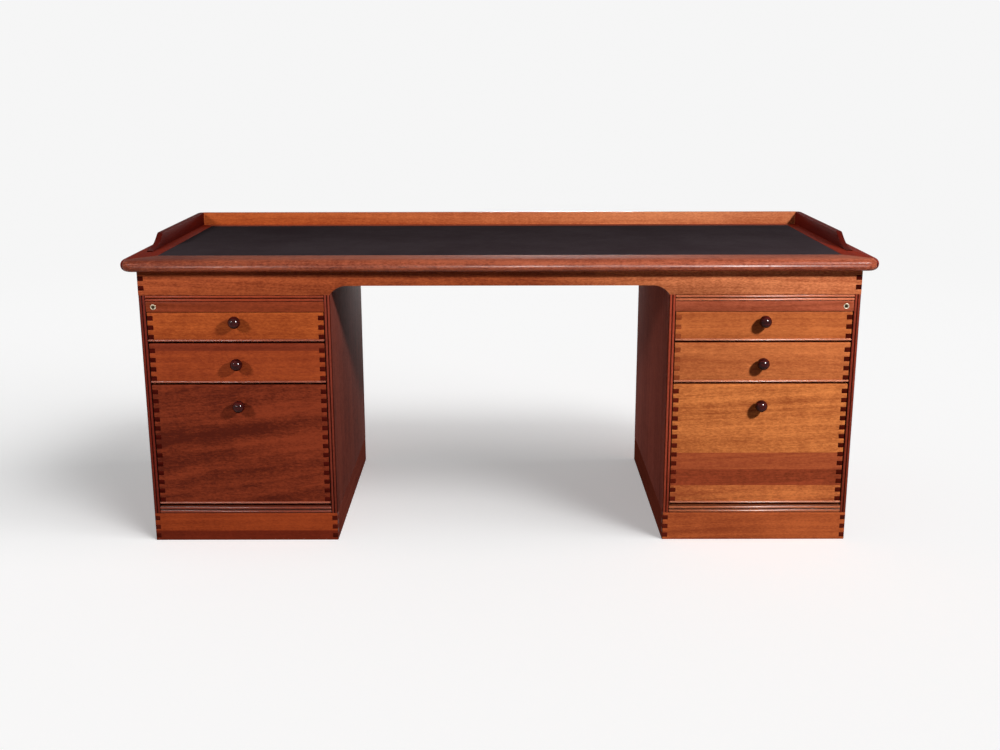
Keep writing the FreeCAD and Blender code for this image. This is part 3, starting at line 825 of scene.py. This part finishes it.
rail_low, rail_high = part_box("right_lock_rail")
bar_low, bar_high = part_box("right_lock_bar")
lock_inset = 0.0345
lock_x = side_high.x - lock_inset
lock_z = (rail_low.z + rail_high.z) / 2
ring_radius = 0.007
ring_proud = 0.001
sleeve_radius = 0.006
bore_radius = 0.00455
plug_radius = 0.0045
key_slot_width, key_slot_depth, key_slot_height = 0.0016, 0.004, 0.006
rod_radius = 0.0025
rod_bore = 0.00255
bore_overshoot = 0.01
crank_radius = 0.009
crank_thickness = 0.004
crank_pin_radius = 0.002
crank_pin_offset = 0.006 * math.sqrt(0.5)
bearing_width = 0.020
bearing_thickness = 0.008
bar_thickness = 0.003
axial_gap = 0.001
guide_width = 0.034
guide_height = 0.012
guide_strap = 0.003
guide_gap = 0.0003
guide_levels = {"lower": 0.43924, "upper": 0.53244}
metal_arris = 0.0003


def new_rod(name, radius, low, high, x, z, sides=48):
    """A round bar along Y, open in edit mode."""
    leave()
    bpy.ops.mesh.primitive_cylinder_add(vertices=sides, radius=radius, depth=high - low,
                                        location=(x, (low + high) / 2, z),
                                        rotation=(quarter_turn, 0, 0))
    return settle(name)


def cut_away(piece, cutter):
    """Cuts one closed shape out of the piece and throws the cutter away."""
    take_up(piece)
    cut = piece.modifiers.new("cut", "BOOLEAN")
    cut.object = cutter
    cut.operation = "DIFFERENCE"
    bpy.ops.object.modifier_apply(modifier="cut")
    bpy.data.objects.remove(cutter)
    work_on(piece)


def turn_down(faces_y, step, scale, x, z):
    """Draws the end faces at a place on along Y, first brought to a new radius."""
    pick("FACE", lambda c, n: near(c.y, faces_y) and n.y > 0.9)
    draw_out()
    bpy.ops.transform.resize(value=(scale, 1, scale), center_override=(x, faces_y, z))
    draw_out(y=step)


def worn_metal(name, colour, worn, roughness):
    """Metal that has gone dull, with rubbed places and fine scratches."""
    colour, worn = tone(*colour), tone(*worn)
    finish = Finish(name)
    place = finish.place()
    rubbed = finish.step(finish.cloud(place, 160.0, 5.0, 0.65), 0.4, 0.62)
    scratch = finish.cloud(place, 1400.0, 2.0)
    finish.surface({"Base Color": finish.mix(rubbed, worn, colour), "Metallic": 1.0,
                    "Roughness": roughness + scratch * 0.12 - rubbed * 0.08,
                    "Normal": finish.bump(0.15, 0.0002, scratch)})
    return finish.material


# Right-hand tones are lighter than left: partly own colour, partly painted light on the right.
lock_rail_woods = {
    "right": mahogany("right_lock_rail_wood", "x", (173, 89, 60), (128, 57, 35), seed=6.4),
    "left": mahogany("left_lock_rail_wood", "x", (147, 64, 36), (103, 41, 21), seed=1.1)}
lock_rail = new_block("right_rail_over_drawers", rail_low, rail_high)
cut_away(lock_rail, new_rod("bore", sleeve_radius, rail_low.y - bore_overshoot,
                            rail_high.y + bore_overshoot, lock_x, lock_z))
soften(lock_rail, side_arris)
fit_both(lock_rail, "lock_rail", lock_rail_woods["right"], lock_rail_woods["left"])

nickelled_brass = worn_metal("nickelled_brass", (238, 228, 206), (165, 145, 116), 0.3)
dull_plug = worn_metal("dull_plug", (92, 76, 56), (52, 38, 26), 0.4)
rolled_steel = worn_metal("rolled_steel", (150, 152, 156), (104, 104, 108), 0.42)

sleeve = new_rod("right_lock_ring", ring_radius, rail_low.y - ring_proud, rail_low.y,
                 lock_x, lock_z)
turn_down(rail_low.y, rail_high.y - rail_low.y, sleeve_radius / ring_radius, lock_x, lock_z)
cut_away(sleeve, new_rod("bore", bore_radius, rail_low.y - bore_overshoot,
                         rail_high.y + bore_overshoot, lock_x, lock_z))
soften(sleeve, metal_arris, 3)
fit_both(sleeve, "lock_fittings", nickelled_brass)

bar_face_y = bar_high.y - bar_thickness
disc_y = bar_face_y - axial_gap
bearing_y = disc_y - crank_thickness - axial_gap
bearing = new_block("right_rod_bearing",
                    (lock_x - bearing_width / 2, bearing_y - bearing_thickness,
                     lock_z - crank_radius),
                    (lock_x + bearing_width / 2, bearing_y, rail_high.z))
cut_away(bearing, new_rod("bore", rod_bore, bearing_y - bearing_width,
                          bearing_y + bearing_width, lock_x, lock_z))
soften(bearing, metal_arris)
fit_both(bearing, "lock_fittings", nickelled_brass)

bar_x = (bar_low.x + bar_high.x) / 2
for name, level in guide_levels.items():
    guide = new_block("right_" + name + "_guide",
                      (bar_x - guide_width / 2, bar_face_y - guide_gap - guide_strap, level),
                      (bar_x + guide_width / 2, back_low.y, level + guide_height))
    passage = new_block("passage",
                        (bar_low.x - guide_gap, bar_face_y - guide_gap, level - guide_height),
                        (bar_high.x + guide_gap, back_high.y, level + 2 * guide_height))
    cut_away(guide, passage)
    soften(guide, metal_arris)
    fit_both(guide, "lock_fittings", nickelled_brass)

plug_y = rail_low.y - ring_proud
plug = new_rod("right_plug", plug_radius, plug_y, rail_high.y, lock_x, lock_z)
turn_down(rail_high.y, disc_y - crank_thickness - rail_high.y, rod_radius / plug_radius,
          lock_x, lock_z)
turn_down(disc_y - crank_thickness, crank_thickness, crank_radius / rod_radius, lock_x, lock_z)
slot_place = Vector((lock_x, plug_y, lock_z))
slot_reach = Vector((key_slot_width / 2, key_slot_depth, key_slot_height / 2))
cut_away(plug, new_block("key_slot", slot_place - slot_reach, slot_place + slot_reach))
soften(plug, metal_arris / 2)
fit_both(plug, "lock_plug", dull_plug)
pin = new_rod("right_crank_pin", crank_pin_radius, disc_y, bar_high.y,
              lock_x - crank_pin_offset, lock_z - crank_pin_offset, 24)
soften(pin, metal_arris)
fit_both(pin, "lock_plug", nickelled_brass)

for side in ("right", "left"):
    refinish(side + "_lock_bar", rolled_steel)
    refinish(side + "_runners", planed_wood)


# Drawers
# Three drawers fill each pedestal. Their boards are finger-jointed, the bottom's front edge
# shows as a bead under the front, and grooves in the sides hang them on hidden runners.

front_thickness = 0.018
drawer_side_thickness = 0.014
drawer_back_thickness = 0.012
groove_depth = 0.008
groove_height = 0.014
strike_depth = 0.020
groove_gap = 0.001
strike_height = 0.012
strike_drop = 0.008
strike_overlap = 0.002
catch_radius = 0.004
bead_fullness = 0.92
bead_arris = 0.0002
drawer_arris = 0.0007

deep_strips = ((0.236, (178, 90, 51), (137, 59, 35)), (0.191, (164, 73, 43), (107, 44, 23)),
               (0.148, (220, 127, 69), (149, 71, 38)))
# Right-hand tones are lighter than left: partly own colour, partly painted light on the right.
drawer_fronts = {
    name: mahogany(name + "_front_wood", "x", light, dark, seed=seed, **figuring)
    for name, seed, light, dark, figuring in (
        ("right_upper", 3.6, (198, 111, 59), (147, 71, 36), {}),
        ("left_upper", 0.9, (189, 94, 44), (129, 53, 23), {}),
        ("right_middle", 9.1, (212, 123, 69), (152, 77, 41), {}),
        ("left_middle", 4.4, (133, 55, 32), (97, 35, 19),
         {"figure": 0.7, "staves": ((0.506, (170, 77, 38), (119, 45, 23)),)}),
        ("right_deep", 1.7, (222, 133, 71), (150, 75, 37),
         {"figure": 0.9, "slope": -0.06, "staves": deep_strips}),
        ("left_deep", 7.9, (134, 55, 31), (79, 26, 14),
         {"figure": 1.0, "slope": -0.16, "rings": 28.0, "streaks": 1.8}))}
# Right-hand tones are lighter than left: partly own colour, partly painted light on the right.
bottom_woods = {
    name: mahogany(name + "_drawer_bottom_wood", "x", light, dark, figure=0.6, seed=seed,
                   gloss=0.26, shine=0.2)
    for name, light, dark, seed in (("right", (206, 130, 96), (150, 82, 56), 0.2),
                                    ("left", (168, 92, 68), (116, 54, 38), 5.9))}
side_board_woods = {
    name: mahogany(name + "_drawer_side_wood", "y", light, dark, seed=seed, end=end, **unpolished)
    for name, light, dark, seed, end in (
        ("right_outer", (120, 60, 40), (76, 32, 20), 6.0, (80, 22, 12)),
        ("right_inner", (146, 78, 50), (104, 48, 28), 3.9, (150, 72, 40)),
        ("right_deep", (146, 78, 50), (104, 48, 28), 1.2, (96, 30, 18)),
        ("left_outer", (126, 60, 38), (84, 34, 20), 1.6, (74, 18, 12)),
        ("left_inner", (120, 56, 36), (78, 32, 20), 7.5, (82, 22, 15)))}
carcase_back = mahogany("drawer_back_wood", "x", (120, 60, 40), (76, 32, 20), seed=8.6,
                        end=(84, 36, 24), **unpolished)
block_wood = mahogany("block_wood", "x", (140, 78, 52), (100, 50, 32), figure=1.0, seed=2.6)

for drawer in ("deep", "middle", "upper"):
    node = drawer + "_drawer_"
    low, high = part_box("right_" + node + "front")
    box_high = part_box("right_" + node + "box")[1]
    end_y = box_high.y - strike_depth
    levels = finger_levels(low.z, high.z)
    groove_z = (low.z + high.z) / 2 - groove_height / 2
    side_roots = (drawer_side_thickness, drawer_side_thickness)

    front = jointed_board("right_" + node + "front_board", low, high, 0, side_roots, levels, 1)
    soften(front, drawer_arris)
    fit_both(front, node + "front", drawer_fronts["right_" + drawer],
             drawer_fronts["left_" + drawer])

    rear = jointed_board("right_" + node + "rear_board",
                         (low.x, end_y - drawer_back_thickness, low.z),
                         (high.x, end_y, high.z), 0, side_roots, levels, 1)
    grooves = {part: ((x - groove_gap, high.y, groove_z),
                      (x + groove_depth, end_y + groove_gap, groove_z + groove_height))
               for part, x in (("inner", low.x), ("outer", high.x - groove_depth))}
    for part in grooves:
        cut_away(rear, new_block("groove", *grooves[part]))
    soften(rear, drawer_arris)
    fit_both(rear, node + "box", carcase_back)

    for part, x in (("inner", low.x), ("outer", high.x - drawer_side_thickness)):
        board = jointed_board("right_" + node + part + "_board", (x, low.y, low.z),
                              (x + drawer_side_thickness, end_y, high.z), 1,
                              (front_thickness, drawer_back_thickness), levels, 0)
        cut_away(board, new_block("groove", *grooves[part]))
        soften(board, drawer_arris)
        dark_ended = drawer == "deep" and part == "inner"
        fit_both(board, node + "box",
                 side_board_woods["right_deep" if dark_ended else "right_" + part],
                 side_board_woods["left_" + part])

    strike_z = high.z - strike_drop - strike_height
    strike = new_block("right_" + node + "strike", (bar_low.x - strike_overlap, end_y, strike_z),
                       (bar_high.x + strike_overlap, box_high.y, high.z - strike_drop))
    catch = new_rod("catch", catch_radius, end_y - strike_depth, box_high.y + strike_depth,
                    bar_x, 0)
    pick_all()
    middle = Vector((0, (end_y + box_high.y) / 2, 0))
    bpy.ops.transform.rotate(value=quarter_turn, orient_axis="X", center_override=middle)
    move_by(z=strike_z)
    cut_away(strike, catch)
    soften(strike, drawer_arris)
    fit_both(strike, node + "box", block_wood)

    bead_low, bead_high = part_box("right_" + node + "bottom")
    bead_radius = (bead_high.z - bead_low.z) / 2
    bottom = new_block("right_" + node + "bottom_board", bead_low, bead_high)
    pick("EDGE", lambda a, b: near(a.y, bead_low.y) and near(b.y, bead_low.y)
         and near(a.z, b.z))
    round_off(bead_radius * bead_fullness, 7)
    soften(bottom, bead_arris)
    fit_both(bottom, node + "bottom", bottom_woods["right"], bottom_woods["left"])


# Knobs
# Each drawer has one dark rosewood knob, turned as a ball on a short neck and collar and
# polished. Its tenon is glued through the front.

knob_radius = 0.0155
knob_projection = 0.035
knob_neck_radius = 0.006
knob_collar_radius = 0.0085
knob_collar_thickness = 0.0022
knob_tenon_radius = 0.005
knob_arris = 0.0006


def polished_rosewood(name, light, dark):
    """Nearly black wood with brown streaks under a polish."""
    light, dark = tone(*light), tone(*dark)
    finish = Finish(name)
    x, y, z = finish.axes().values()
    streak = finish.noise(x * 22.0, y * 60.0, z * 420.0, 3.0)
    cloud = finish.noise(x * 60.0, y * 60.0, z * 60.0, 2.0)
    shade = finish.step(streak + cloud * 0.5, -0.15, 0.3)
    pores = finish.step(finish.noise(x * 160.0, y * 900.0, z * 2400.0, 1.0), 0.12, 0.3)
    finish.surface({"Base Color": finish.mix(shade, dark, light),
                    "Roughness": 0.11 + pores * 0.15 + cloud * 0.05,
                    "Normal": finish.bump(0.03, 0.0003, 0.0 - pores),
                    "Specular IOR Level": 0.12})
    return finish.material


rosewood = polished_rosewood("polished_rosewood", (78, 20, 17), (42, 8, 8))
for drawer in ("deep", "middle", "upper"):
    node = drawer + "_drawer_"
    low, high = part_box("right_" + node + "knob")
    face_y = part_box("right_" + node + "front")[0].y
    ball_y = face_y - knob_projection + knob_radius
    x, z = (low.x + high.x) / 2, (low.z + high.z) / 2
    leave()
    bpy.ops.mesh.primitive_uv_sphere_add(segments=48, ring_count=32, radius=knob_radius,
                                         location=(x, ball_y, z), rotation=(quarter_turn, 0, 0))
    knob = settle("right_" + node + "turned_knob")
    neck_y = ball_y + math.sqrt(knob_radius ** 2 - knob_neck_radius ** 2)
    saw_off((0, neck_y, 0), (0, 1, 0))
    pick("FACE", lambda c, n: near(c.y, neck_y) and n.y > 0.9)
    collar_y = face_y - knob_collar_thickness
    draw_out(y=collar_y - neck_y)
    turn_down(collar_y, knob_collar_thickness, knob_collar_radius / knob_neck_radius, x, z)
    turn_down(face_y, front_thickness, knob_tenon_radius / knob_collar_radius, x, z)
    soften(knob, knob_arris, 3)
    fit_both(knob, node + "knob", rosewood)


# Floor and light
# The desk stands on a plain pale floor that keeps its shadow. A lamp stands on either side of
# the sitter, one behind the desk, and dim ones fill the kneehole, the far end and the front
# edge. Gleams put a line of light on the mouldings and a spot on the knobs.

paper_tone = (0.92, 0.92, 0.92, 1)
floor_white = (0.9, 0.9, 0.9, 1)
floor_bounce = (0.16, 0.10, 0.08, 1)
floor_reach = 14.0
white_from, white_to = 2.6, 5.5
shadow_lift = 0.37
room_level = 0.15
spot_width = math.radians(46)


def seen_ray(finish):
    """One for what the camera sees, also in a reflection, and nought for light on the desk."""
    rays = [finish.node("ShaderNodeLightPath", None, None, key)
            for key in ("Is Camera Ray", "Is Glossy Ray", "Is Transmission Ray")]
    return rays[0] + rays[1] + rays[2]


leave()
bpy.ops.mesh.primitive_circle_add(vertices=96, radius=floor_reach, fill_type="NGON")
floor = bpy.context.object
floor.name = "floor"
paper = Finish("floor_paper")
place = paper.place()
distance = paper.node("ShaderNodeVectorMath", {"operation": "LENGTH"}, {0: place}, "Value")
lit = paper.node("ShaderNodeBsdfDiffuse", None, {"Color": floor_white})
lift = paper.node("ShaderNodeEmission", None, {"Color": floor_white, "Strength": shadow_lift})
near_desk = paper.node("ShaderNodeAddShader", None, {0: lit, 1: lift})
glow = paper.node("ShaderNodeEmission", None, {"Color": paper_tone, "Strength": 1.0})
pale = paper.node("ShaderNodeMixShader", None, {
    0: paper.step(distance, white_from, white_to), 1: near_desk, 2: glow})
dim = paper.node("ShaderNodeBsdfDiffuse", None, {"Color": floor_bounce})
paper.node_out(paper.node("ShaderNodeMixShader", None, {0: seen_ray(paper), 1: dim, 2: pale}))
floor.data.materials.append(paper.material)

world = bpy.data.worlds.new("studio")
bpy.context.scene.world = world
sky = Finish("studio", world)
room = sky.node("ShaderNodeBackground", None, {"Color": (1, 1, 1, 1), "Strength": room_level})
backdrop = sky.node("ShaderNodeBackground", None, {"Color": paper_tone, "Strength": 1.0})
sky.node_out(sky.node("ShaderNodeMixShader", None, {0: seen_ray(sky), 1: room, 2: backdrop}),
             "ShaderNodeOutputWorld")


def lit_group(name, wanted):
    """The pieces that one lamp lights."""
    group = bpy.data.collections.new(name)
    for thing in bpy.context.scene.objects:
        if thing.type == "MESH" and wanted(thing):
            group.objects.link(thing)
    return group


def new_lamp(name, kind, place, aim, power, size, lights):
    """A lamp that looks at a point. Its size is in metres, or for a sun in degrees."""
    bpy.ops.object.light_add(type=kind, location=place)
    lamp = bpy.context.object
    lamp.name = name
    lamp.rotation_euler = (Vector(place) - Vector(aim)).to_track_quat("Z", "Y").to_euler()
    lamp.data.energy = power
    if kind == "SUN":
        lamp.data.angle = math.radians(size)
    elif kind == "SPOT":
        lamp.data.shadow_soft_size = size / 2
        lamp.data.spot_size = spot_width
        lamp.data.spot_blend = 1.0
    else:
        lamp.data.shape = "DISK"
        lamp.data.size = size
    lamp.light_linking.receiver_collection = lights
    return lamp


def named_with(*words):
    return lambda thing: any(word in thing.name for word in words)


desk_group = lit_group("desk_pieces", lambda thing: thing != floor)
floor_group = lit_group("floor_alone", lambda thing: thing == floor)
moulded_group = lit_group("mouldings", named_with("front_top_rail", "shelf", "bottom_board"))
low_moulded_group = lit_group("low_mouldings", named_with("front_top_rail", "bottom_board"))
knob_group = lit_group("knobs", named_with("knob"))
front_edge_group = lit_group("front_edge", named_with("front_top_rail"))
inner_face_group = lit_group("right_inner_faces", named_with(
    "right_inner_side", "right_plinth_inner", "right_deep_drawer_inner",
    "right_middle_drawer_inner", "right_upper_drawer_inner"))
far_end_group = lit_group("right_end_tops", named_with("right_top_rail", "gallery_board_right"))
desk_middle = (0, 0, 0.5)
right_place, left_place = (1.85, -2.20, 2.05), (-2.17, -2.13, 1.72)
for name, kind, place, aim, power, size, lights in (
        ("shadow_lamp", "SUN", (0.466, -0.516, 0.717), (0, 0, 0), 0.8, 22, floor_group),
        ("side_lamp", "SUN", (0.80, -0.35, 0.53), (0, 0, 0), 2.05, 56, floor_group),
        ("right_lamp", "AREA", right_place, desk_middle, 102, 0.3, desk_group),
        ("left_lamp", "SPOT", left_place, (-0.85, -0.3, 0.5), 186, 0.4, desk_group),
        ("kneehole_lamp", "AREA", (-1.9, -2.2, 0.5), desk_middle, 26, 0.8, inner_face_group),
        ("far_lamp", "AREA", left_place, desk_middle, 90, 0.4, far_end_group),
        ("low_lamp", "AREA", (0.6, -2.6, 0.15), desk_middle, 16, 0.6, front_edge_group),
        ("back_lamp", "AREA", (0.4, 4.0, 0.6), desk_middle, 90, 1.2, desk_group)):
    new_lamp(name, kind, place, aim, power, size, lights)
for name, place, power, size, lights in (
        ("right_gleam", (1.2, -2.6, 0.1), 220, 0.3, moulded_group),
        ("middle_gleam", (0.1, -2.6, 0.1), 90, 0.25, front_edge_group),
        ("left_gleam", (-1.3, -2.6, 0.1), 55, 0.4, low_moulded_group),
        ("knob_gleam", right_place, 300, 0.8, knob_group)):
    gleam = new_lamp(name, "AREA", place, (place[0] / 2, 0, 0.7), power, size, lights)
    gleam.visible_diffuse = False

eye_place = (0.00141, -3.30210, 1.19150)
eye_turn = (1.32349617, 0.00169503, -0.00011015)
bpy.ops.object.camera_add(location=eye_place, rotation=eye_turn)
camera = bpy.context.object
camera.data.lens = 43.643
camera.data.sensor_width = 36.0
bpy.context.scene.camera = camera
bpy.context.scene.view_settings.view_transform = "Standard"
